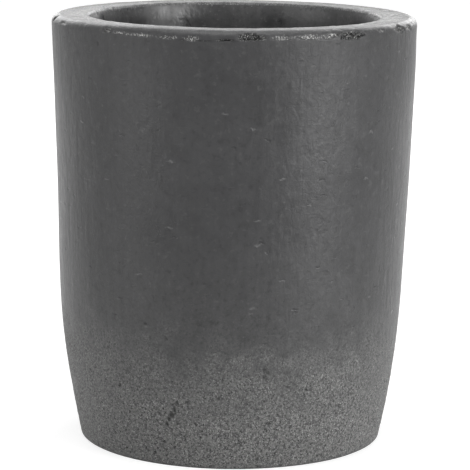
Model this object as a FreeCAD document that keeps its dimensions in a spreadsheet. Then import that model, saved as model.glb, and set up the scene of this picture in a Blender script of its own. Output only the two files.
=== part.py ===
import FreeCAD, Part
import math
import os

import Sketcher

# Foundry crucible of clay-graphite, pressed and fired in one piece, as a parametric document.
#
# Outside, a long flank with a little draft turns in through one big heel curve to a flat foot.
# Inside, a drafted wall that gets thicker on its way down rolls into a thick floor. The mouth
# ends in a flat rim, well rounded outside and bevelled inside. Tongs and lids have broken flakes
# out of its outer edge, and the two that go deepest are cuts of their own.
#
# Millimetres, +Z up, origin at the middle of the foot's underside, front towards -Y.

NODE = "crucible"
OUT_FOLDER = "parts"

# Driving sizes in millimetres, and drafts in degrees from upright: alias, value, what it is.
SIZES = [
    ("mouth_diameter", 120.0, "outside diameter of the flank, carried up to the rim"),
    ("overall_height", 140.4, "foot to rim"),
    ("foot_diameter", 100.4, "outside diameter at the foot, before its edge is bevelled"),
    ("flank_draft", 2.05, "lean of the straight outer flank"),
    ("heel_height", 52.8, "where the straight flank turns into the heel curve"),
    ("foot_bevel", 0.8, "bevel of the foot's edge"),
    ("rim_width", 12.6, "thickness of the wall at the mouth"),
    ("lip_outer_radius", 3.0, "rounding of the rim's outer edge"),
    ("lip_bevel", 1.2, "bevel of the rim's inner edge"),
    ("bowl_draft", 2.6, "lean of the straight inner wall"),
    ("bowl_radius", 20.0, "curve that rolls the inner wall into the floor"),
    ("floor_thickness", 15.0, "thickness of the floor at the middle"),
]

# The deepest flakes broken out of the rim's outer edge. The azimuth in degrees runs from the
# front, and is positive to the right of someone who faces it. Half length runs round the rim,
# half height up the flank, depth goes into the wall, and drop is how far the middle lies below
# the rim.
FLAKES = [
    # name, azimuth, half length, half height, depth, drop
    ("front_flake", 5.0, 3.6, 1.2, 1.2, 2.0),
    ("right_flake", 37.5, 5.4, 1.3, 1.2, 2.2),
]
FLAKE_SIZES = ["azimuth", "half_length", "half_height", "depth", "drop"]

# How Sketcher counts the points of a line or arc, and its own two axes, down from -1. The level
# axis starts at the sketch's origin.
WHOLE, START, END = range(3)
LEVEL_AXIS, UPRIGHT_AXIS = range(-1, -3, -1)


def make_sheet(document):
    """The spreadsheet that every feature reads its sizes from."""
    sheet = document.addObject("Spreadsheet::Sheet", "Sizes")
    rows = list(SIZES)
    for name, *values in FLAKES:
        for what, value in zip(FLAKE_SIZES, values):
            rows.append((f"{name}_{what}", value, name.replace("_", " ")))
    for row, (alias, value, note) in enumerate(rows, start=1):
        sheet.set(f"A{row}", alias)
        sheet.set(f"B{row}", str(value))
        sheet.set(f"C{row}", note)
        sheet.setAlias(f"B{row}", alias)
    document.recompute()
    return sheet


def new_sketch(body, name):
    """An empty sketch on the body's own upright plane, with the axis of turning up its middle."""
    plane = next(feature for feature in body.Origin.OriginFeatures if feature.Role == "XZ_Plane")
    sketch = body.newObject("Sketcher::SketchObject", name)
    sketch.AttachmentSupport = [(plane, "")]
    sketch.MapMode = "FlatFace"
    return sketch


def relate(sketch, kind, *where):
    sketch.addConstraint(Sketcher.Constraint(kind, *where))


def measure(sketch, name, kind, where, value, expression):
    """Adds a dimension to the sketch and ties it to the sheet."""
    index = sketch.addConstraint(Sketcher.Constraint(kind, *where, value))
    sketch.renameConstraint(index, name)
    sketch.setExpression(f"Constraints.{name}", expression)


def arc_into(start, end, direction):
    """The arc from start that reaches end along direction."""
    across = FreeCAD.Vector(direction.y, -direction.x, 0)
    chord = end - start
    radius = chord.dot(chord) / (2 * chord.dot(across))
    centre = end - across * radius
    bisector = ((start - centre).normalize() + (end - centre).normalize()).normalize()
    return Part.Arc(start, centre + bisector * abs(radius), end)


def ends_of_arc(sketch, arc, lower):
    """The arc's lower and upper ends. Sketcher starts every arc at its anticlockwise start."""
    starts_low = sketch.getPoint(arc, START).distanceToPoint(lower) < Part.Precision.confusion()
    return (START, END) if starts_low else (END, START)


def draw_outside(body, sheet):
    """Half section of the pressed blank: foot, heel curve, drafted flank and flat top."""
    sketch = new_sketch(body, "outside_section")
    height = sheet.overall_height
    rise = height - sheet.heel_height
    reach = rise * math.tan(math.radians(sheet.flank_draft))
    middle = FreeCAD.Vector(0, 0, 0)
    foot = FreeCAD.Vector(sheet.foot_diameter / 2, 0, 0)
    mouth = FreeCAD.Vector(sheet.mouth_diameter / 2, height, 0)
    heel_top = FreeCAD.Vector(mouth.x - reach, sheet.heel_height, 0)
    top_middle = FreeCAD.Vector(0, height, 0)

    underside = sketch.addGeometry(Part.LineSegment(middle, foot))
    heel = sketch.addGeometry(arc_into(foot, heel_top, (mouth - heel_top).normalize()))
    flank = sketch.addGeometry(Part.LineSegment(heel_top, mouth))
    top = sketch.addGeometry(Part.LineSegment(mouth, top_middle))
    axis = sketch.addGeometry(Part.LineSegment(top_middle, middle))

    relate(sketch, "Coincident", underside, START, LEVEL_AXIS, START)
    heel_low, heel_high = ends_of_arc(sketch, heel, foot)
    relate(sketch, "Coincident", underside, END, heel, heel_low)
    relate(sketch, "Tangent", heel, heel_high, flank, START)
    relate(sketch, "Coincident", flank, END, top, START)
    relate(sketch, "Coincident", top, END, axis, START)
    relate(sketch, "Coincident", axis, END, underside, START)
    relate(sketch, "Horizontal", underside)
    relate(sketch, "Horizontal", top)
    relate(sketch, "Vertical", axis)

    across_foot = (underside, START, underside, END)
    across_top = (top, END, top, START)
    up_axis = (axis, END, axis, START)
    up_heel = (LEVEL_AXIS, START, flank, START)
    out_flank = (flank, START, flank, END)
    reach_rule = "(Sizes.overall_height - Sizes.heel_height) * tan(Sizes.flank_draft * 1 deg)"
    measure(sketch, "foot_radius", "DistanceX", across_foot, foot.x, "Sizes.foot_diameter / 2")
    measure(sketch, "mouth_radius", "DistanceX", across_top, mouth.x, "Sizes.mouth_diameter / 2")
    measure(sketch, "height", "DistanceY", up_axis, height, "Sizes.overall_height")
    measure(sketch, "heel_height", "DistanceY", up_heel, heel_top.y, "Sizes.heel_height")
    measure(sketch, "flank_reach", "DistanceX", out_flank, reach, reach_rule)
    return sketch


def draw_bowl(body, sheet):
    """Half section of the hollow: drafted wall, bowl curve and the flat middle of the floor."""
    sketch = new_sketch(body, "bowl_section")
    height = sheet.overall_height
    floor = sheet.floor_thickness
    curve = sheet.bowl_radius
    draft = math.radians(sheet.bowl_draft)
    mouth_radius = sheet.mouth_diameter / 2 - sheet.rim_width
    # The curve's middle is one radius above the floor, and one radius square in from the wall.
    middle_z = floor + curve
    middle_x = mouth_radius - (height - middle_z) * math.tan(draft) - curve / math.cos(draft)

    def on_curve(angle):
        """The point of the bowl curve that lies the given angle below its middle."""
        return FreeCAD.Vector(
            middle_x + curve * math.cos(angle), middle_z - curve * math.sin(angle), 0
        )

    floor_middle = FreeCAD.Vector(0, floor, 0)
    floor_edge = on_curve(math.pi / 2)
    wall_foot = on_curve(draft)
    wall_top = FreeCAD.Vector(mouth_radius, height, 0)
    top_middle = FreeCAD.Vector(0, height, 0)
    halfway = on_curve((draft + math.pi / 2) / 2)

    bottom = sketch.addGeometry(Part.LineSegment(floor_middle, floor_edge))
    bowl = sketch.addGeometry(Part.Arc(floor_edge, halfway, wall_foot))
    wall = sketch.addGeometry(Part.LineSegment(wall_foot, wall_top))
    top = sketch.addGeometry(Part.LineSegment(wall_top, top_middle))
    axis = sketch.addGeometry(Part.LineSegment(top_middle, floor_middle))

    relate(sketch, "Tangent", bottom, END, bowl, START)
    relate(sketch, "Tangent", bowl, END, wall, START)
    relate(sketch, "Coincident", wall, END, top, START)
    relate(sketch, "Coincident", top, END, axis, START)
    relate(sketch, "Coincident", axis, END, bottom, START)
    relate(sketch, "PointOnObject", bottom, START, UPRIGHT_AXIS)
    relate(sketch, "PointOnObject", axis, START, UPRIGHT_AXIS)
    relate(sketch, "Horizontal", bottom)
    relate(sketch, "Horizontal", top)

    up_floor = (LEVEL_AXIS, START, bottom, START)
    up_top = (LEVEL_AXIS, START, axis, START)
    across_mouth = (top, END, top, START)
    lean = (wall, START, UPRIGHT_AXIS, START)
    radius_rule = "Sizes.mouth_diameter / 2 - Sizes.rim_width"
    measure(sketch, "floor_thickness", "DistanceY", up_floor, floor, "Sizes.floor_thickness")
    measure(sketch, "height", "DistanceY", up_top, height, "Sizes.overall_height")
    measure(sketch, "mouth_radius", "DistanceX", across_mouth, mouth_radius, radius_rule)
    measure(sketch, "bowl_radius", "Radius", (bowl,), curve, "Sizes.bowl_radius")
    measure(sketch, "bowl_draft", "Angle", lean, draft, "Sizes.bowl_draft * 1 deg")
    return sketch


def turn(body, kind, name, sketch):
    """Turns a half section right round the upright axis, to add or to take away."""
    feature = body.newObject(kind, name)
    feature.Profile = sketch
    feature.ReferenceAxis = (sketch, ["V_Axis"])
    feature.Angle = 360
    return feature


def finish(body, feature):
    """Makes the feature the body's tip, works it out and stops if it cut no new face."""
    faces_before = len(body.Shape.Faces)
    body.Tip = feature
    body.Document.recompute()
    if len(body.Shape.Faces) <= faces_before:
        raise RuntimeError(f"{feature.Name} cut nothing")


def dress_edge(body, kind, name, radius, height, rule):
    """Rounds or bevels the circular edge of the given radius at the given height."""
    base = body.Tip
    place = FreeCAD.Vector(0, 0, height)
    for number, edge in enumerate(base.Shape.Edges, start=1):
        if not isinstance(edge.Curve, Part.Circle):
            continue
        off_size = abs(edge.Curve.Radius - radius)
        off_place = edge.Curve.Center.distanceToPoint(place)
        if off_size + off_place < Part.Precision.confusion():
            break
    else:
        raise RuntimeError(f"{name}: no edge of radius {radius} at height {height}")
    dressing = body.newObject(f"PartDesign::{kind}", name)
    dressing.Base = (base, [f"Edge{number}"])
    dressing.setExpression("Radius" if kind == "Fillet" else "Size", rule)
    finish(body, dressing)


def break_out(body, name):
    """Takes one flake, a shallow oval scoop, out of the flank just below the rim."""
    scoop = body.newObject("PartDesign::SubtractiveEllipsoid", name)
    turned = f"Sizes.{name}_azimuth * 1 deg"
    face = f"(Sizes.mouth_diameter / 2 - Sizes.{name}_drop * tan(Sizes.flank_draft * 1 deg))"
    scoop.setExpression("Radius1", f"Sizes.{name}_half_height")
    scoop.setExpression("Radius2", f"Sizes.{name}_depth")
    scoop.setExpression("Radius3", f"Sizes.{name}_half_length")
    scoop.setExpression("Placement.Base.x", f"{face} * sin({turned})")
    scoop.setExpression("Placement.Base.y", f"-{face} * cos({turned})")
    scoop.setExpression("Placement.Base.z", f"Sizes.overall_height - Sizes.{name}_drop")
    scoop.setExpression("Placement.Rotation.Angle", f"{turned} - 90 deg")
    finish(body, scoop)


def make_crucible(document, sheet):
    """The whole crucible: turned blank, hollowed bowl, dressed edges and broken rim."""
    body = document.addObject("PartDesign::Body", NODE)
    body.Label = NODE
    outside = draw_outside(body, sheet)
    body.Tip = turn(body, "PartDesign::Revolution", "blank", outside)
    document.recompute()
    blank_volume = body.Shape.Volume
    bowl = draw_bowl(body, sheet)
    finish(body, turn(body, "PartDesign::Groove", "bowl", bowl))
    if not body.Shape.Volume < blank_volume:
        raise RuntimeError("the bowl took nothing away")

    mouth_radius = sheet.mouth_diameter / 2
    inner_radius = mouth_radius - sheet.rim_width
    height = sheet.overall_height
    foot_radius = sheet.foot_diameter / 2
    dress_edge(body, "Fillet", "outer_lip", mouth_radius, height, "Sizes.lip_outer_radius")
    dress_edge(body, "Chamfer", "inner_lip", inner_radius, height, "Sizes.lip_bevel")
    dress_edge(body, "Chamfer", "foot_edge", foot_radius, 0, "Sizes.foot_bevel")
    for name, *_ in FLAKES:
        break_out(body, name)
    return body


def check(document, body):
    """Stops before anything is written if a feature failed or the solid isn't sound."""
    for item in document.Objects:
        if {"Invalid", "Error"} & set(item.State):
            raise RuntimeError(f"{item.Name} failed: {item.State}")
    if body.Shape.isNull() or not body.Shape.isValid() or len(body.Shape.Solids) != 1:
        raise RuntimeError(f"{body.Label} isn't one sound solid")


def main():
    document = FreeCAD.newDocument("foundry_crucible")
    sheet = make_sheet(document)
    body = make_crucible(document, sheet)
    check(document, body)
    os.makedirs(OUT_FOLDER, exist_ok=True)
    body.Shape.exportStep(f"{OUT_FOLDER}/{body.Label}.step")
    bounds = body.Shape.BoundBox
    print(f"{body.Label}: {body.Shape.Volume / 1000:.1f} cm3, {bounds}")


main()
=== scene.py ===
import math
import random

import bpy
from mathutils import Matrix, Vector, kdtree, noise


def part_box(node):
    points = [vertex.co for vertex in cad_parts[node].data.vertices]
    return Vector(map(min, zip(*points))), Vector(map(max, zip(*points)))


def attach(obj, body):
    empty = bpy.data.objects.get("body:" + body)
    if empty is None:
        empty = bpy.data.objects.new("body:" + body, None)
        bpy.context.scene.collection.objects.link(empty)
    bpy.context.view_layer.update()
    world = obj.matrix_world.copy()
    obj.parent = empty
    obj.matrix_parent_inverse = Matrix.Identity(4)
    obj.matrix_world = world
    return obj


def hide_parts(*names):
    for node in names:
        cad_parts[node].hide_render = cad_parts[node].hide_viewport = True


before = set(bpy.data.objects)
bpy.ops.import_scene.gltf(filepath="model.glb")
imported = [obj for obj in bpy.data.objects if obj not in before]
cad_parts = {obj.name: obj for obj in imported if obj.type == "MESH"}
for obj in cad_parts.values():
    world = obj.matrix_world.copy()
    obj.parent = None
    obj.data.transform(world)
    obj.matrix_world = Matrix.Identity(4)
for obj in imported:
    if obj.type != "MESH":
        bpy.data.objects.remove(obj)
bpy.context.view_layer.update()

# A clay-graphite foundry crucible, pressed in one piece, fired and then used.
#
# Metres, +Z up, the foot's middle at the origin, front towards -Y. Sizes below are in
# millimetres where their names don't say otherwise, and MM brings them into the scene.

MM = 0.001
CAD_NODE = "crucible"

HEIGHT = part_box(CAD_NODE)[1].z / MM
MOUTH_RADIUS = 60.0
FOOT_RADIUS = 50.2
FLANK_DRAFT = math.radians(2.05)
HEEL_HEIGHT = 52.8
FOOT_ROUND = 0.3
RIM_WIDTH = 12.6
LIP_OUTER_ROUND = 3.0
LIP_INNER_ROUND = 1.2
BOWL_DRAFT = math.radians(2.6)
BOWL_RADIUS = 20.0
FLOOR_THICKNESS = 15.0

# The skin is fine mesh where it is rough or broken, and coarse where it is smooth.
OUTSIDE_STEPS = 600
BOWL_STEPS = 150
LIP_SKIN = 0.38
FINE_SKIN = 0.62
COARSE_SKIN = 0.7
ROUGH_TOP = 49.0  # the coarse, sandy skin of the heel ends below this height
RIM_BAND = 8.5  # chips and rubbing reach this far below the rim

# Breaks in the rim's outer edge: azimuth in degrees from the front, positive to the right of
# someone who faces it, then half length round the rim, half height, depth, and how far the
# middle lies below the rim. The last number is how much of it is fresh, pale grain. Where that
# is all of it, only a thin flake came off.
FLAKES = [
    (-78.5, 1.5, 0.9, 0.7, 1.2, 0.3),
    (-66.0, 2.2, 0.5, 0.3, 1.5, 0.6),
    (-41.5, 1.6, 0.8, 0.7, 1.6, 0.7),
    (-36.5, 2.6, 0.4, 0.35, 2.1, 1.0),
    (-29.0, 5.4, 0.5, 0.45, 2.4, 1.0),
    (-20.0, 3.4, 0.6, 0.5, 2.6, 1.0),
    (-12.5, 2.4, 0.8, 0.5, 2.5, 0.8),
    (-9.0, 7.5, 0.16, 0.3, 3.3, 0.0),
    (-2.7, 2.7, 0.28, 0.7, 2.9, 0.0),
    (4.6, 3.4, 1.1, 1.2, 2.0, 0.0),
    (8.2, 1.6, 0.7, 0.6, 2.3, 0.2),
    (14.5, 3.6, 0.7, 0.4, 2.3, 0.9),
    (22.5, 4.2, 0.8, 0.5, 2.1, 1.0),
    (29.5, 2.6, 0.7, 0.5, 2.1, 1.0),
    (37.5, 5.2, 1.2, 1.2, 2.2, 0.0),
    (51.0, 2.0, 0.6, 0.3, 1.6, 0.5),
    (61.5, 3.0, 1.1, 0.8, 1.9, 0.2),
    (69.0, 2.4, 0.8, 0.4, 1.8, 0.5),
    (118.0, 4.0, 1.0, 0.8, 2.2, 0.4),
    (-137.0, 5.0, 1.1, 1.0, 2.1, 0.3),
    (171.0, 3.0, 0.8, 0.6, 2.4, 0.5),
]

DEEPEST_BREAK = max(flake[3] for flake in FLAKES)
THIN_FLAKE = 0.7

# Single pits that stand out: azimuth, height above the foot, radius, depth.
PITS = [
    (-28.5, 46.9, 0.5, 0.5),
    (-21.1, 42.8, 0.5, 0.5),
    (-45.5, 134.3, 0.7, 0.4),
    (-19.2, 19.4, 0.6, 0.6),
    (-20.3, 17.6, 0.8, 0.7),
    (-21.5, 16.0, 0.6, 0.6),
    (-22.3, 14.4, 0.6, 0.6),
    (-18.2, 21.8, 0.5, 0.5),
    (-40.5, 25.0, 0.6, 0.5),
    (-37.0, 30.0, 0.5, 0.4),
    (11.0, 33.4, 0.6, 0.5),
    (12.3, 32.6, 0.5, 0.5),
    (26.0, 26.0, 0.6, 0.5),
]
LOOSE_PITS = 260

# The studio, in metres and degrees
CAMERA_PLACE = (0, -0.76422, 0.2069)
CAMERA_TURN = -0.073
CAMERA_TILT = 10.408
CAMERA_LEAN = 0.648
CAMERA_LENS = 178.37  # millimetres, on a 36 mm sensor
SOFTBOX_DISTANCE = 1.1
SOFTBOX_HEIGHT = 0.6


# ---------------------------------------------------------------- shape of the section


def heel_circle():
    """Centre and radius of the arc that leaves the foot and meets the flank smoothly."""
    top = Vector((MOUTH_RADIUS - (HEIGHT - HEEL_HEIGHT) * math.tan(FLANK_DRAFT), HEEL_HEIGHT))
    outward = Vector((math.cos(FLANK_DRAFT), -math.sin(FLANK_DRAFT)))
    chord = top - Vector((FOOT_RADIUS, 0))
    radius = chord.length_squared / (2 * chord.dot(outward))
    return top - outward * radius, radius


HEEL_CENTRE, HEEL_RADIUS = heel_circle()


def flank_radius(height):
    """Outside radius of the unworn crucible at a height, without the lip's round."""
    if height > HEEL_HEIGHT:
        return MOUTH_RADIUS - (HEIGHT - height) * math.tan(FLANK_DRAFT)
    drop = height - HEEL_CENTRE.y
    return HEEL_CENTRE.x + math.sqrt(HEEL_RADIUS**2 - drop**2)


def steps_between(start, end, step):
    """Evenly spaced values from start to end, about a step apart, without the first."""
    count = max(1, round(abs(end - start) / step))
    return [start + (end - start) * i / count for i in range(1, count + 1)]


def arc(centre, radius, start, end, step):
    """Points along an arc between two angles, about a step apart, without the first."""
    count = max(2, round(abs(end - start) * radius / step))
    angles = [start + (end - start) * i / count for i in range(1, count + 1)]
    return [(centre[0] + radius * math.cos(a), centre[1] + radius * math.sin(a)) for a in angles]


def outside_section():
    """Radius and height from under the foot, up the outside and over the rim."""
    foot_edge = flank_radius(FOOT_ROUND) - FOOT_ROUND
    points = [(foot_edge - 9, 0), (foot_edge - 3, 0), (foot_edge, 0)]
    points += arc((foot_edge, FOOT_ROUND), FOOT_ROUND, -math.pi / 2, 0, FOOT_ROUND / 2)
    heights = steps_between(FOOT_ROUND, ROUGH_TOP, COARSE_SKIN)
    heights += steps_between(ROUGH_TOP, ROUGH_TOP + 10, 1.8)
    heights += steps_between(ROUGH_TOP + 10, HEIGHT - RIM_BAND - 3, 4.6)
    heights += steps_between(HEIGHT - RIM_BAND - 3, HEIGHT - RIM_BAND, 1.5)
    heights += steps_between(HEIGHT - RIM_BAND, HEIGHT - LIP_OUTER_ROUND - 1, FINE_SKIN)
    heights += steps_between(HEIGHT - LIP_OUTER_ROUND - 1, HEIGHT - LIP_OUTER_ROUND, LIP_SKIN)
    points += [(flank_radius(height), height) for height in heights]
    lip_middle = flank_radius(HEIGHT - LIP_OUTER_ROUND) - LIP_OUTER_ROUND
    lip_centre = (lip_middle, HEIGHT - LIP_OUTER_ROUND)
    points += arc(lip_centre, LIP_OUTER_ROUND, 0, math.pi / 2, LIP_SKIN)
    inner_edge = MOUTH_RADIUS - RIM_WIDTH + LIP_INNER_ROUND
    points += [(radius, HEIGHT) for radius in steps_between(lip_middle, inner_edge, 0.85)]
    inner_centre = (inner_edge, HEIGHT - LIP_INNER_ROUND)
    points += arc(inner_centre, LIP_INNER_ROUND, math.pi / 2, math.pi - BOWL_DRAFT, 0.5)
    return points


def bowl_section():
    """Radius and height down the inner wall, round the bowl's curve and over the floor."""
    mouth = MOUTH_RADIUS - RIM_WIDTH
    centre_height = FLOOR_THICKNESS + BOWL_RADIUS
    lean = (HEIGHT - centre_height) * math.tan(BOWL_DRAFT)
    centre = (mouth - lean - BOWL_RADIUS / math.cos(BOWL_DRAFT), centre_height)
    top = HEIGHT - LIP_INNER_ROUND - 1.2
    foot = centre_height - BOWL_RADIUS * math.sin(BOWL_DRAFT)
    heights = [top] + steps_between(top, foot, 4.0)
    points = [(mouth - (HEIGHT - height) * math.tan(BOWL_DRAFT), height) for height in heights]
    points += arc(centre, BOWL_RADIUS, -BOWL_DRAFT, -math.pi / 2, 2.2)
    points += [(radius, FLOOR_THICKNESS) for radius in steps_between(centre[0], 2.0, 4.0)]
    return points


# ---------------------------------------------------------------- modelling


def select_none():
    bpy.ops.object.select_all(action="DESELECT")


def spin_section(name, section, steps):
    """Draws a section point by point from one vertex and spins it round the upright axis."""
    select_none()
    points = [Vector((0, -radius, height)) * MM for radius, height in section]
    bpy.ops.mesh.primitive_plane_add(size=MM, location=points[0])
    piece = bpy.context.object
    piece.name = piece.data.name = name
    bpy.ops.object.transform_apply(location=True, rotation=True, scale=True)
    bpy.ops.object.mode_set(mode="EDIT")
    bpy.ops.mesh.select_all(action="SELECT")
    bpy.ops.mesh.merge(type="CENTER")
    for last, point in zip(points, points[1:]):
        bpy.ops.mesh.extrude_region_move(TRANSFORM_OT_translate={"value": point - last})
    bpy.ops.mesh.select_all(action="SELECT")
    bpy.ops.mesh.spin(steps=steps, angle=math.tau, center=(0, 0, 0), axis=(0, 0, 1))
    bpy.ops.mesh.select_all(action="SELECT")
    bpy.ops.mesh.remove_doubles(threshold=0.02 * MM)
    bpy.ops.object.mode_set(mode="OBJECT")
    return piece


def select_open_edges(piece, wanted):
    """In edit mode, selects the open edges whose middle passes the test."""
    bpy.ops.mesh.select_mode(type="EDGE")
    bpy.ops.mesh.select_all(action="SELECT")
    bpy.ops.mesh.region_to_loop()
    bpy.ops.object.mode_set(mode="OBJECT")
    mesh = piece.data
    for edge in mesh.edges:
        if edge.select:
            middle = (mesh.vertices[edge.vertices[0]].co + mesh.vertices[edge.vertices[1]].co) / 2
            edge.select = wanted(middle / MM)
    for vertex in mesh.vertices:
        vertex.select = False
    bpy.ops.object.mode_set(mode="EDIT")


def close_disc(piece, wanted):
    """Closes a round opening with a fan of triangles to its middle."""
    select_open_edges(piece, wanted)
    bpy.ops.mesh.edge_face_add()
    bpy.ops.mesh.poke()


def build_crucible():
    """The whole skin: a fine outside and a coarser bowl, bridged under the lip and closed."""
    outside = spin_section("pressed_crucible", outside_section(), OUTSIDE_STEPS)
    bowl = spin_section("bowl", bowl_section(), BOWL_STEPS)
    select_none()
    bowl.select_set(True)
    outside.select_set(True)
    bpy.context.view_layer.objects.active = outside
    bpy.ops.object.join()
    bpy.ops.object.mode_set(mode="EDIT")
    below_rim = HEIGHT - 5
    select_open_edges(outside, lambda middle: middle.z > below_rim)
    bpy.ops.mesh.bridge_edge_loops()
    close_disc(outside, lambda middle: middle.z < 1)
    close_disc(outside, lambda middle: abs(middle.z - FLOOR_THICKNESS) < 1)
    bpy.ops.mesh.select_all(action="SELECT")
    bpy.ops.mesh.normals_make_consistent(inside=False)
    bpy.ops.object.mode_set(mode="OBJECT")
    return outside


# ---------------------------------------------------------------- wear on the surface


def clamp(value):
    return min(1.0, max(0.0, value))


def fade(value, start, end):
    """0 at start and 1 at end, smoothly."""
    t = clamp((value - start) / (end - start))
    return t * t * (3 - 2 * t)


def ragged(point, size, seed=0.0):
    """Smooth random value, about -1 to 1, that changes over that size."""
    return noise.fractal(point / size + Vector((seed, seed, seed)), 0.6, 2.0, 3)


def azimuth_of(point):
    """Degrees round from the front, positive to the right of someone who faces it."""
    return math.degrees(math.atan2(point.x, -point.y))


def around(angle, centre):
    """How far one azimuth lies from another, in degrees."""
    return (angle - centre + 180) % 360 - 180


def is_outside(point, radius):
    """Whether a place is on the foot, the outside or the rim, and not in the bowl."""
    if point.z <= 1:
        return True
    if point.z < HEIGHT - 4:
        return radius >= FOOT_RADIUS - 1.2
    return radius > MOUTH_RADIUS - RIM_WIDTH


def sand_height(angle):
    """Height up to which the skin is coarse; it reaches higher at the left and the back."""
    left = fade(abs(around(angle, -65)), 60, 10)
    back = fade(abs(around(angle, 160)), 90, 20)
    return 34 + 5 * left + 6 * back


def sand_at(point, angle, outside):
    """How coarse and sandy the skin is."""
    if not outside:
        return 0.0
    edge = sand_height(angle) + 6 * ragged(point, 20, 3) + 5 * ragged(point, 6, 8)
    level = fade(point.z, edge + 14, edge - 14) * fade(point.z, 0, 1)
    patchy = 0.7 + 0.3 * fade(point.z, 26, 8) + 0.3 * ragged(point, 8, 5)
    return clamp(level * patchy)


def rim_at(point, angle, radius):
    """How worn by rubbing the skin is: the rim's top and its lip. It is most at the sides, where
    tongs grip, and there the rim's paler colour is partly a painted highlight.
    """
    below = HEIGHT - point.z
    # Partly painted highlight: the rim's paler colour is made strongest at the sides, where the
    # lamps catch it
    gripped_and_lit = 0.72 + 0.28 * fade(abs(abs(angle) - 75), 62, 22)
    if radius < MOUTH_RADIUS - RIM_WIDTH + LIP_INNER_ROUND:
        return fade(below, 2.4, 1.2) * gripped_and_lit
    level = fade(below + 0.5 * ragged(point, 4, 2), 1.5, 0.3) * gripped_and_lit
    polished = MOUTH_RADIUS - LIP_OUTER_ROUND - 1.5 + 1.5 * ragged(point, 7, 4)
    return level * (0.25 + 0.75 * fade(radius, polished + 2.5, polished - 3.5))


def break_at(point, angle, outside):
    """Depth of the breaks here as a share of the deepest, and how much pale grain shows."""
    below = HEIGHT - point.z
    depth = fresh = 0.0
    if not outside or below > RIM_BAND or math.hypot(point.x, point.y) < MOUTH_RADIUS - 6:
        return depth, fresh
    for middle, half_length, half_height, deep, drop, pale in FLAKES:
        run = math.radians(around(angle, middle)) * MOUTH_RADIUS
        if abs(run) > 1.6 * half_length:
            continue
        spread = (run / half_length) ** 2 + ((below - drop) / half_height) ** 2
        inside = clamp(1.1 - spread + 0.9 * ragged(point, 1.1, middle))
        thinner = THIN_FLAKE if pale == 1.0 else 1.0
        depth = max(depth, math.sqrt(inside) * deep * thinner)
        fresh = max(fresh, clamp(inside * 2) * pale)
    return depth / DEEPEST_BREAK, fresh


def swell_at(point, angle, outside):
    """How far the flank swells past a true cone: it was pressed a little out of round."""
    if not outside:
        return 0.0
    left = fade(abs(around(angle, -90)), 65, 10) * fade(point.z, 8, 40) * fade(point.z, 90, 55)
    right = fade(abs(around(angle, 90)), 65, 10) * fade(point.z, 50, 95) * fade(point.z, 136, 122)
    return max(left, 0.75 * right)


def scatter_pits():
    """All pits as (place, radius, depth): the ones that stand out and the loose ones."""
    random.seed(41)
    pits = list(PITS)
    while len(pits) < LOOSE_PITS + len(PITS):
        angle = random.uniform(-180, 180)
        height = abs(random.gauss(0, 1)) * 22 + 1
        if height < sand_height(angle) + 6:
            radius = random.choice((0.3, 0.35, 0.4, 0.45, 0.55))
            pits.append((angle, height, radius, radius * 0.8))
    placed = []
    for angle, height, radius, depth in pits:
        turn = math.radians(angle)
        reach = flank_radius(height)
        place = Vector((reach * math.sin(turn), -reach * math.cos(turn), height))
        placed.append((place, radius, depth))
    return placed


def pit_weights(mesh):
    """Each vertex's share of the deepest pit."""
    tree = kdtree.KDTree(len(mesh.vertices))
    for vertex in mesh.vertices:
        tree.insert(vertex.co / MM, vertex.index)
    tree.balance()
    pits = scatter_pits()
    deepest = max(depth for place, radius, depth in pits)
    weights = [0.0] * len(mesh.vertices)
    for place, radius, depth in pits:
        for co, index, distance in tree.find_range(place, radius * 1.6):
            shape = fade(distance, radius * 1.5, radius * 0.4)
            weights[index] = max(weights[index], shape * depth / deepest)
    return weights, deepest


def survey(mesh):
    """Reads how worn each vertex is, as one list of values for each kind of wear."""
    wear = {"swell": [], "sand": [], "rim": [], "break": [], "fresh": []}
    for vertex in mesh.vertices:
        point = vertex.co / MM
        angle = azimuth_of(point)
        radius = math.hypot(point.x, point.y)
        outside = is_outside(point, radius)
        depth, fresh = break_at(point, angle, outside)
        wear["swell"].append(swell_at(point, angle, outside))
        wear["sand"].append(sand_at(point, angle, outside))
        wear["rim"].append(rim_at(point, angle, radius))
        wear["break"].append(depth)
        wear["fresh"].append(fresh)
    return wear


def write_wear(piece, wear):
    """Stores each kind of wear as a vertex group to shape by and an attribute to colour by."""
    for name, values in wear.items():
        group = piece.vertex_groups.new(name=name)
        for index, value in enumerate(values):
            if value > 0.001:
                group.add([index], value, "REPLACE")
        attribute = piece.data.attributes.new(f"{name}_wear", "FLOAT", "POINT")
        attribute.data.foreach_set("value", values)


def press_in(piece, name, depth, group=None, grain=None, level=0.0):
    """Moves the skin inward by up to a depth, all over or by group, with a grain if given."""
    modifier = piece.modifiers.new(name, "DISPLACE")
    modifier.direction = "NORMAL"
    modifier.strength = -depth * MM
    modifier.mid_level = level
    if group:
        modifier.vertex_group = group
    if grain:
        texture = bpy.data.textures.new(name, "CLOUDS")
        texture.noise_scale = grain * MM
        texture.noise_depth = 2
        modifier.texture = texture
        modifier.texture_coords = "LOCAL"
    bpy.ops.object.modifier_apply(modifier=name)


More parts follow.
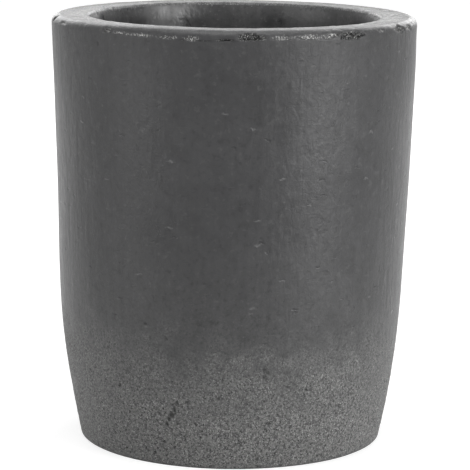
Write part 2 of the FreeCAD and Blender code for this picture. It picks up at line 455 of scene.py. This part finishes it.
def weather(piece):
    """Gives the skin the unevenness, grit, pits and breaks of a used crucible."""
    pits, deepest_pit = pit_weights(piece.data)
    wear = survey(piece.data)
    wear["pit"] = pits
    write_wear(piece, wear)
    select_none()
    piece.select_set(True)
    bpy.context.view_layer.objects.active = piece
    press_in(piece, "out_of_round", -0.5, group="swell")
    press_in(piece, "pressed_unevenness", 0.14, grain=26)
    press_in(piece, "sandy_skin", 0.4, group="sand", grain=1.4, level=0.4)
    press_in(piece, "rubbed_lip", 0.4, group="rim", grain=6)
    press_in(piece, "lip_grain", 0.16, group="rim", grain=1.8)
    press_in(piece, "broken_lip", DEEPEST_BREAK, group="break")
    press_in(piece, "grain_in_breaks", 0.7, group="break", grain=1.2)
    press_in(piece, "pits", deepest_pit, group="pit")
    bpy.ops.object.shade_smooth_by_angle(angle=math.radians(55))


# ---------------------------------------------------------------- materials


def colour(code):
    """An sRGB hex colour as linear numbers."""
    channels = [int(code[i:i + 2], 16) / 255 for i in (1, 3, 5)]
    linear = [c / 12.92 if c <= 0.04045 else ((c + 0.055) / 1.055) ** 2.4 for c in channels]
    return (*linear, 1.0)


def add(tree, kind, inputs=None, **settings):
    """Adds a node, sets its options, and fills its inputs with values or other nodes' outputs."""
    node = tree.nodes.new(kind)
    for name, value in settings.items():
        setattr(node, name, value)
    open_inputs = [socket for socket in node.inputs if socket.enabled]
    for key, value in (inputs or {}).items():
        if isinstance(key, int):
            socket = open_inputs[key]
        else:
            socket = next(s for s in open_inputs if s.name == key)
        if isinstance(value, bpy.types.NodeSocket):
            tree.links.new(value, socket)
        elif isinstance(value, bpy.types.Node):
            tree.links.new(next(s for s in value.outputs if s.enabled), socket)
        else:
            socket.default_value = value
    return node


def new_material(name):
    """An empty material and its node tree."""
    material = bpy.data.materials.new(name)
    material.use_nodes = True
    material.node_tree.nodes.clear()
    return material, material.node_tree


def coats(tree, paint, layers):
    """Lays coats of colour over a paint, each as thick as its pattern says.

    A layer is the pattern, the values at which its coat is nothing and full, how much the full
    coat hides, and the colour.
    """
    for pattern, bare, full, hiding, code in layers:
        amount = add(tree, "ShaderNodeMapRange", {
            "Value": pattern, "From Min": bare, "From Max": full, "To Max": hiding,
        })
        paint = add(tree, "ShaderNodeMix", {
            0: amount, 1: paint, 2: colour(code) if isinstance(code, str) else code,
        }, data_type="RGBA")
    return paint


def heights(tree, layers):
    """Adds up relief in millimetres.

    A layer is the pattern, its low and high values, the height from low to high, and the kind of
    wear that it goes with, or nothing where it is all over.
    """
    total = 0.0
    for pattern, low, high, height, place in layers:
        rise = add(tree, "ShaderNodeMapRange", {
            "Value": pattern, "From Min": low, "From Max": high, "To Max": height,
        })
        total = add(tree, "ShaderNodeMath", {
            0: rise, 1: 1.0 if place is None else place, 2: total,
        }, operation="MULTIPLY_ADD")
    return total


def knock_marks(tree, millimetres):
    """Small knocks about 9 mm apart and up to 3 mm long: all, the pale ones and the dark ones."""
    wander = add(tree, "ShaderNodeTexNoise", {"Vector": millimetres, "Scale": 1 / 1.4})
    knocked = add(tree, "ShaderNodeVectorMath", {
        0: wander.outputs["Color"], 1: (2.0, 2.0, 2.0), 2: millimetres,
    }, operation="MULTIPLY_ADD")
    knocked = add(tree, "ShaderNodeMapping", {"Vector": knocked, "Scale": (0.11, 0.11, 0.32)})
    knocks = add(tree, "ShaderNodeTexVoronoi", {"Vector": knocked, "Scale": 1.0})
    kind = add(tree, "ShaderNodeSeparateColor", {"Color": knocks.outputs["Color"]})
    kind = kind.outputs["Red"]
    dent = add(tree, "ShaderNodeMapRange", {
        "Value": knocks.outputs["Distance"], "From Min": 0.16, "From Max": 0.05,
    })
    pale = add(tree, "ShaderNodeMath", {0: kind, 1: 0.74}, operation="GREATER_THAN")
    pale = add(tree, "ShaderNodeMath", {0: dent, 1: pale}, operation="MULTIPLY")
    dark = add(tree, "ShaderNodeMath", {0: kind, 1: 0.3}, operation="LESS_THAN")
    dark = add(tree, "ShaderNodeMath", {0: dent, 1: dark}, operation="MULTIPLY")
    return dent, pale, dark


def fired_clay_graphite():
    """Pressed and fired clay-graphite.

    Graphite flakes burnish to a dark grey with a dull metallic gloss, so the flank is smooth, with
    faint smears and knocks. Where the clay and grit show, at the heel and the rim, it is paler,
    matt and speckled; at the rim the paler colour is partly a painted highlight.
    """
    material, tree = new_material("fired_clay_graphite")
    place = add(tree, "ShaderNodeTexCoord").outputs["Object"]
    millimetres = add(tree, "ShaderNodeMapping", {"Vector": place, "Scale": (1000, 1000, 1000)})
    upright = add(tree, "ShaderNodeMapping", {"Vector": place, "Scale": (1000, 1000, 45)})
    tall = add(tree, "ShaderNodeMapping", {"Vector": place, "Scale": (1000, 1000, 330)})
    level = add(tree, "ShaderNodeMapping", {"Vector": place, "Scale": (110, 110, 1000)})
    height = add(tree, "ShaderNodeSeparateXYZ", {"Vector": millimetres}).outputs["Z"]
    sand, rim, broken, fresh, pit = (
        add(tree, "ShaderNodeAttribute", attribute_name=f"{name}_wear").outputs["Fac"]
        for name in ("sand", "rim", "break", "fresh", "pit")
    )

    # Patterns by the real size of their marks. Grit is 0.1 to 0.5 mm in such a body, and is drawn
    # at 0.4 to 0.8 mm, since finer grains would not show.
    clouds, smears, dapple, streaks, hammered, rubs, grit, specks, shaded_holes, bends = (
        add(tree, "ShaderNodeTexNoise", {
            "Vector": vector, "Scale": 1 / size, "Detail": detail,
            "Roughness": roughness, "Distortion": distortion,
        }).outputs["Fac"]
        for vector, size, detail, roughness, distortion in (
            (millimetres, 24, 2.0, 0.5, 0.0),
            (millimetres, 6, 3.0, 0.6, 0.8),
            (millimetres, 2.2, 3.0, 0.65, 0.0),
            (upright, 1.6, 2.0, 0.55, 0.0),
            (tall, 3.6, 3.0, 0.55, 0.7),
            (level, 1.1, 3.0, 0.6, 0.0),
            (millimetres, 0.8, 3.0, 0.7, 0.0),
            (millimetres, 0.42, 1.0, 0.5, 0.0),
            (millimetres, 0.66, 2.0, 0.6, 0.5),
            (millimetres, 4.5, 2.0, 0.5, 1.6),
        )
    )
    creases = add(tree, "ShaderNodeMath", {0: bends, 1: 0.5, 2: 0.02}, operation="COMPARE")

    dent, pale, dark = knock_marks(tree, millimetres)

    # Burnished graphite skin, with more clay dust and grain in it the nearer it is to the heel
    near_heel = add(tree, "ShaderNodeMapRange", {
        "Value": height, "From Min": 85, "From Max": 45, "To Min": 0.15,
    })
    ground = add(tree, "ShaderNodeMix", {0: near_heel, 1: 0.5, 2: grit}, data_type="FLOAT")
    skin = coats(tree, colour("#323233"), (
        (clouds, 0.3, 0.7, 1.0, "#3a3a3b"),
        (height, 80, 20, 0.85, "#4e4e4e"),
        (smears, 0.48, 0.72, 0.45, "#444445"),
        (smears, 0.5, 0.3, 0.25, "#222223"),
        (dapple, 0.44, 0.3, 0.5, "#1c1c1d"),
        (dapple, 0.58, 0.72, 0.5, "#545454"),
        (ground, 0.46, 0.34, 0.5, "#222223"),
        (ground, 0.58, 0.7, 0.5, "#5e5e5e"),
        (streaks, 0.4, 0.65, 0.15, "#242425"),
        (rubs, 0.69, 0.75, 0.4, "#5e5e5f"),
        (dark, 0, 1, 0.6, "#18181a"),
        (pale, 0, 1, 0.55, "#727272"),
    ))

    # Sandy heel, with painted contact shade: a ragged dark band along the bottom edge where it
    # stands on the floor
    sandy = coats(tree, colour("#484848"), (
        (grit, 0.38, 0.58, 1.0, "#7a7a79"),
        (specks, 0.6, 0.68, 0.9, "#aaaaa8"),
        # Painted shade: black spots stand for the shade in the sand's small pits, which have no
        # relief of their own
        (shaded_holes, 0.43, 0.34, 1.0, "#1a1a1a"),
    ))
    skin = coats(tree, skin, ((sand, 0, 1, 1.0, sandy),))
    # Painted shade: the skin below about 0.9 mm goes near black in patches, as the shadow where
    # the foot meets the floor
    foot = add(tree, "ShaderNodeMapRange", {"Value": height, "From Min": 0.9, "From Max": 0.3})
    foot = add(tree, "ShaderNodeMath", {0: foot, 1: smears}, operation="MULTIPLY")
    skin = coats(tree, skin, ((foot, 0.45, 0.56, 0.9, "#161616"),))

    # Rubbed rim, partly painted highlight; breaks in its edge, painted near black as the shade
    # inside them; and pits, painted dark as shade
    # Rim colour, partly real rubbed wear and partly a painted sheen standing for the gloss the rim
    # shows in light
    rubbed_and_sheen = coats(tree, colour("#4c4c4c"), (
        (smears, 0.3, 0.62, 1.0, "#858585"),
        (dapple, 0.5, 0.34, 0.6, "#444444"),
        (grit, 0.5, 0.32, 0.7, "#343434"),
        (specks, 0.58, 0.66, 0.8, "#acacaa"),
    ))
    # Painted shade: the breaks' near-black ground stands for the shade inside them, and the pale
    # specks are fresh grain
    torn_and_shade = coats(tree, colour("#080808"), (
        (shaded_holes, 0.48, 0.56, 1.0, "#505050"),
        (specks, 0.6, 0.66, 1.0, "#b8b8b6"),
    ))
    grains = coats(tree, colour("#5a5a5a"), ((specks, 0.48, 0.62, 1.0, "#d0d0ce"),))
    shown = add(tree, "ShaderNodeMapRange", {"Value": grit, "From Min": 0.42, "From Max": 0.56})
    shown = add(tree, "ShaderNodeMath", {0: shown, 1: fresh}, operation="MULTIPLY")
    skin = coats(tree, skin, (
        (rim, 0, 1, 1.0, rubbed_and_sheen),
        (broken, 0.12, 0.4, 1.0, torn_and_shade),
        (shown, 0, 1, 1.0, grains),
        # Painted shade: pits go near black, as the shade inside them
        (pit, 0.1, 0.5, 0.8, "#1c1c1c"),
    ))

    # Graphite smears shine a little more than the rest, and grit and clay are dull
    gloss = add(tree, "ShaderNodeMapRange", {
        "Value": smears, "From Min": 0.3, "From Max": 0.7, "To Min": 0.35, "To Max": 0.43,
    })
    for pattern, low, high, change in ((streaks, 0.3, 0.7, 0.05), (height, 108, 136, 0.09)):
        duller = add(tree, "ShaderNodeMapRange", {
            "Value": pattern, "From Min": low, "From Max": high, "To Max": change,
        })
        gloss = add(tree, "ShaderNodeMath", {0: gloss, 1: duller}, operation="ADD")
    for place, dullness in ((sand, 0.7), (rim, 0.45), (broken, 0.7)):
        gloss = add(tree, "ShaderNodeMix", {0: place, 1: gloss, 2: dullness}, data_type="FLOAT")

    relief = heights(tree, (
        (smears, 0, 1, 0.10, None),
        (dapple, 0.2, 0.8, 0.07, None),
        (streaks, 0, 1, 0.03, None),
        (hammered, 0.2, 0.8, 0.13, None),
        (rubs, 0.6, 0.8, 0.04, None),
        (creases, 0, 1, -0.03, None),
        (dent, 0, 1, -0.12, None),
        (grit, 0.2, 0.8, 0.22, sand),
        (specks, 0.2, 0.8, 0.12, sand),
        (grit, 0.2, 0.8, 0.25, broken),
        (grit, 0.2, 0.8, 0.14, rim),
        (smears, 0.2, 0.8, 0.35, rim),
    ))
    bump = add(tree, "ShaderNodeBump", {"Height": relief, "Distance": MM, "Strength": 1.0})

    surface = add(tree, "ShaderNodeBsdfPrincipled", {
        "Base Color": skin, "Roughness": gloss, "Normal": bump,
        "Metallic": 0.0, "IOR": 1.5, "Specular IOR Level": 0.4,
    })
    add(tree, "ShaderNodeOutputMaterial", {"Surface": surface})
    return material


def glazed_bowl():
    """The same body under its own glaze.

    Firing draws a thin glassy skin out of the bowl's wall, so inside it is darker and shinier than
    the flank, with faint clouds and runs where the last melt was poured out.
    """
    material, tree = new_material("glazed_clay_graphite")
    place = add(tree, "ShaderNodeTexCoord").outputs["Object"]
    millimetres = add(tree, "ShaderNodeMapping", {"Vector": place, "Scale": (1000, 1000, 1000)})
    tall = add(tree, "ShaderNodeMapping", {"Vector": place, "Scale": (1000, 1000, 300)})
    clouds, runs, grain = (
        add(tree, "ShaderNodeTexNoise", {
            "Vector": vector, "Scale": 1 / size, "Detail": detail,
            "Roughness": 0.55, "Distortion": distortion,
        }).outputs["Fac"]
        for vector, size, detail, distortion in (
            (millimetres, 14, 4.0, 0.6),
            (tall, 5, 3.0, 0.8),
            (millimetres, 1.3, 2.0, 0.0),
        )
    )
    glaze = coats(tree, colour("#2e2e2f"), (
        (clouds, 0.35, 0.7, 0.9, "#525252"),
        (runs, 0.5, 0.75, 0.5, "#5a5a5a"),
        (grain, 0.45, 0.3, 0.4, "#1e1e1f"),
        (grain, 0.6, 0.72, 0.4, "#6e6e6e"),
    ))
    dull = add(tree, "ShaderNodeMapRange", {
        "Value": clouds, "From Min": 0.35, "From Max": 0.65, "To Min": 0.25, "To Max": 0.5,
    })
    relief = heights(tree, (
        (clouds, 0, 1, 0.25, None),
        (runs, 0, 1, 0.12, None),
        (grain, 0, 1, 0.05, None),
    ))
    bump = add(tree, "ShaderNodeBump", {"Height": relief, "Distance": MM, "Strength": 1.0})
    surface = add(tree, "ShaderNodeBsdfPrincipled", {
        "Base Color": glaze, "Roughness": dull, "Normal": bump,
        "Metallic": 0.0, "IOR": 1.5, "Specular IOR Level": 0.5,
    })
    add(tree, "ShaderNodeOutputMaterial", {"Surface": surface})
    return material


def glaze_inside(piece):
    """Puts the glaze on the faces of the bowl, from just under the inner lip to the floor."""
    piece.data.materials.clear()
    piece.data.materials.append(fired_clay_graphite())
    piece.data.materials.append(glazed_bowl())
    for face in piece.data.polygons:
        middle = face.center / MM
        radius = math.hypot(middle.x, middle.y)
        inside = radius < MOUTH_RADIUS - RIM_WIDTH + 0.2 and middle.z > FLOOR_THICKNESS - 2
        if inside and middle.z < HEIGHT - 1.3:
            face.material_index = 1


def studio_floor():
    """Plain matt white sheet. What looks at it sees near white, and the object's shadow."""
    material, tree = new_material("white_sheet")
    paint = add(tree, "ShaderNodeBsdfDiffuse", {"Color": colour("#e7e7e7")})
    place = add(tree, "ShaderNodeTexCoord").outputs["Object"]
    away = add(tree, "ShaderNodeVectorMath", {0: place}, operation="LENGTH").outputs["Value"]
    level = add(tree, "ShaderNodeMapRange", {
        "Value": away, "From Min": 0.05, "From Max": 0.45, "To Min": 0.8, "To Max": 1.0,
    })
    bright = add(tree, "ShaderNodeEmission", {"Color": colour("#ffffff"), "Strength": level})
    lit = add(tree, "ShaderNodeBsdfDiffuse", {"Color": colour("#a0a0a0")})
    shown = add(tree, "ShaderNodeAddShader", {0: bright, 1: lit})
    seen = seen_directly(tree)
    surface = add(tree, "ShaderNodeMixShader", {0: seen, 1: paint, 2: shown})
    add(tree, "ShaderNodeOutputMaterial", {"Surface": surface})
    return material


def seen_directly(tree):
    """1 for camera, glossy and transmission rays, and 0 for the light that falls on things."""
    path = add(tree, "ShaderNodeLightPath")
    rays = add(tree, "ShaderNodeMath", {
        0: path.outputs["Is Camera Ray"], 1: path.outputs["Is Glossy Ray"],
    }, operation="MAXIMUM")
    return add(tree, "ShaderNodeMath", {
        0: rays, 1: path.outputs["Is Transmission Ray"],
    }, operation="MAXIMUM")


# ---------------------------------------------------------------- studio


def softbox(name, turn, lift, watts, width):
    """A soft lamp on a circle round the crucible: degrees right of the front and above level."""
    turn, lift = math.radians(turn), math.radians(lift)
    aim = Vector((0, 0, HEIGHT * MM * 0.57))
    level = Vector((math.sin(turn), -math.cos(turn), 0)) * math.cos(lift)
    way = level + Vector((0, 0, math.sin(lift)))
    data = bpy.data.lights.new(name, "AREA")
    data.shape, data.size, data.size_y, data.energy = "RECTANGLE", width, SOFTBOX_HEIGHT, watts
    lamp = bpy.data.objects.new(name, data)
    lamp.location = aim + way * SOFTBOX_DISTANCE
    lamp.rotation_euler = (-way).to_track_quat("-Z", "Y").to_euler()
    bpy.context.scene.collection.objects.link(lamp)


def lay_floor():
    select_none()
    bpy.ops.mesh.primitive_plane_add(size=6)
    floor = bpy.context.object
    floor.name = "floor"
    floor.data.materials.append(studio_floor())


def surround_with_white():
    """A white world to look at and to see mirrored, which lights nothing by itself."""
    world = bpy.data.worlds.new("studio")
    bpy.context.scene.world = world
    world.use_nodes = True
    tree = world.node_tree
    tree.nodes.clear()
    shown = add(tree, "ShaderNodeBackground", {"Color": colour("#ffffff"), "Strength": 1.0})
    dark = add(tree, "ShaderNodeBackground", {"Color": colour("#ffffff"), "Strength": 0.0})
    mixed = add(tree, "ShaderNodeMixShader", {0: seen_directly(tree), 1: dark, 2: shown})
    add(tree, "ShaderNodeOutputWorld", {"Surface": mixed})


def place_camera():
    data = bpy.data.cameras.new("camera")
    data.lens, data.sensor_width, data.clip_start = CAMERA_LENS, 36, 0.05
    camera = bpy.data.objects.new("camera", data)
    turn = Matrix.Rotation(math.radians(CAMERA_TURN), 4, "Z")
    tilt = Matrix.Rotation(math.radians(90 - CAMERA_TILT), 4, "X")
    lean = Matrix.Rotation(math.radians(CAMERA_LEAN), 4, "Z")
    camera.matrix_world = Matrix.Translation(CAMERA_PLACE) @ turn @ tilt @ lean
    bpy.context.scene.collection.objects.link(camera)
    bpy.context.scene.camera = camera
    bpy.context.scene.view_settings.view_transform = "Standard"


def build_studio():
    """Floor, world, lamps and camera."""
    lay_floor()
    surround_with_white()
    softbox("right", 55, 9, 10.0, width=0.45)
    softbox("left", -61, 9, 4.0, width=0.45)
    softbox("overhead", 0, 80, 6.5, width=0.6)
    softbox("back_right", 156, 22, 6.0, width=0.5)
    softbox("back_left", -158, 22, 5.0, width=0.5)
    place_camera()


# ---------------------------------------------------------------- the piece and the scene



crucible = build_crucible()
weather(crucible)
glaze_inside(crucible)
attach(crucible, "root")
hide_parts(CAD_NODE)
build_studio()
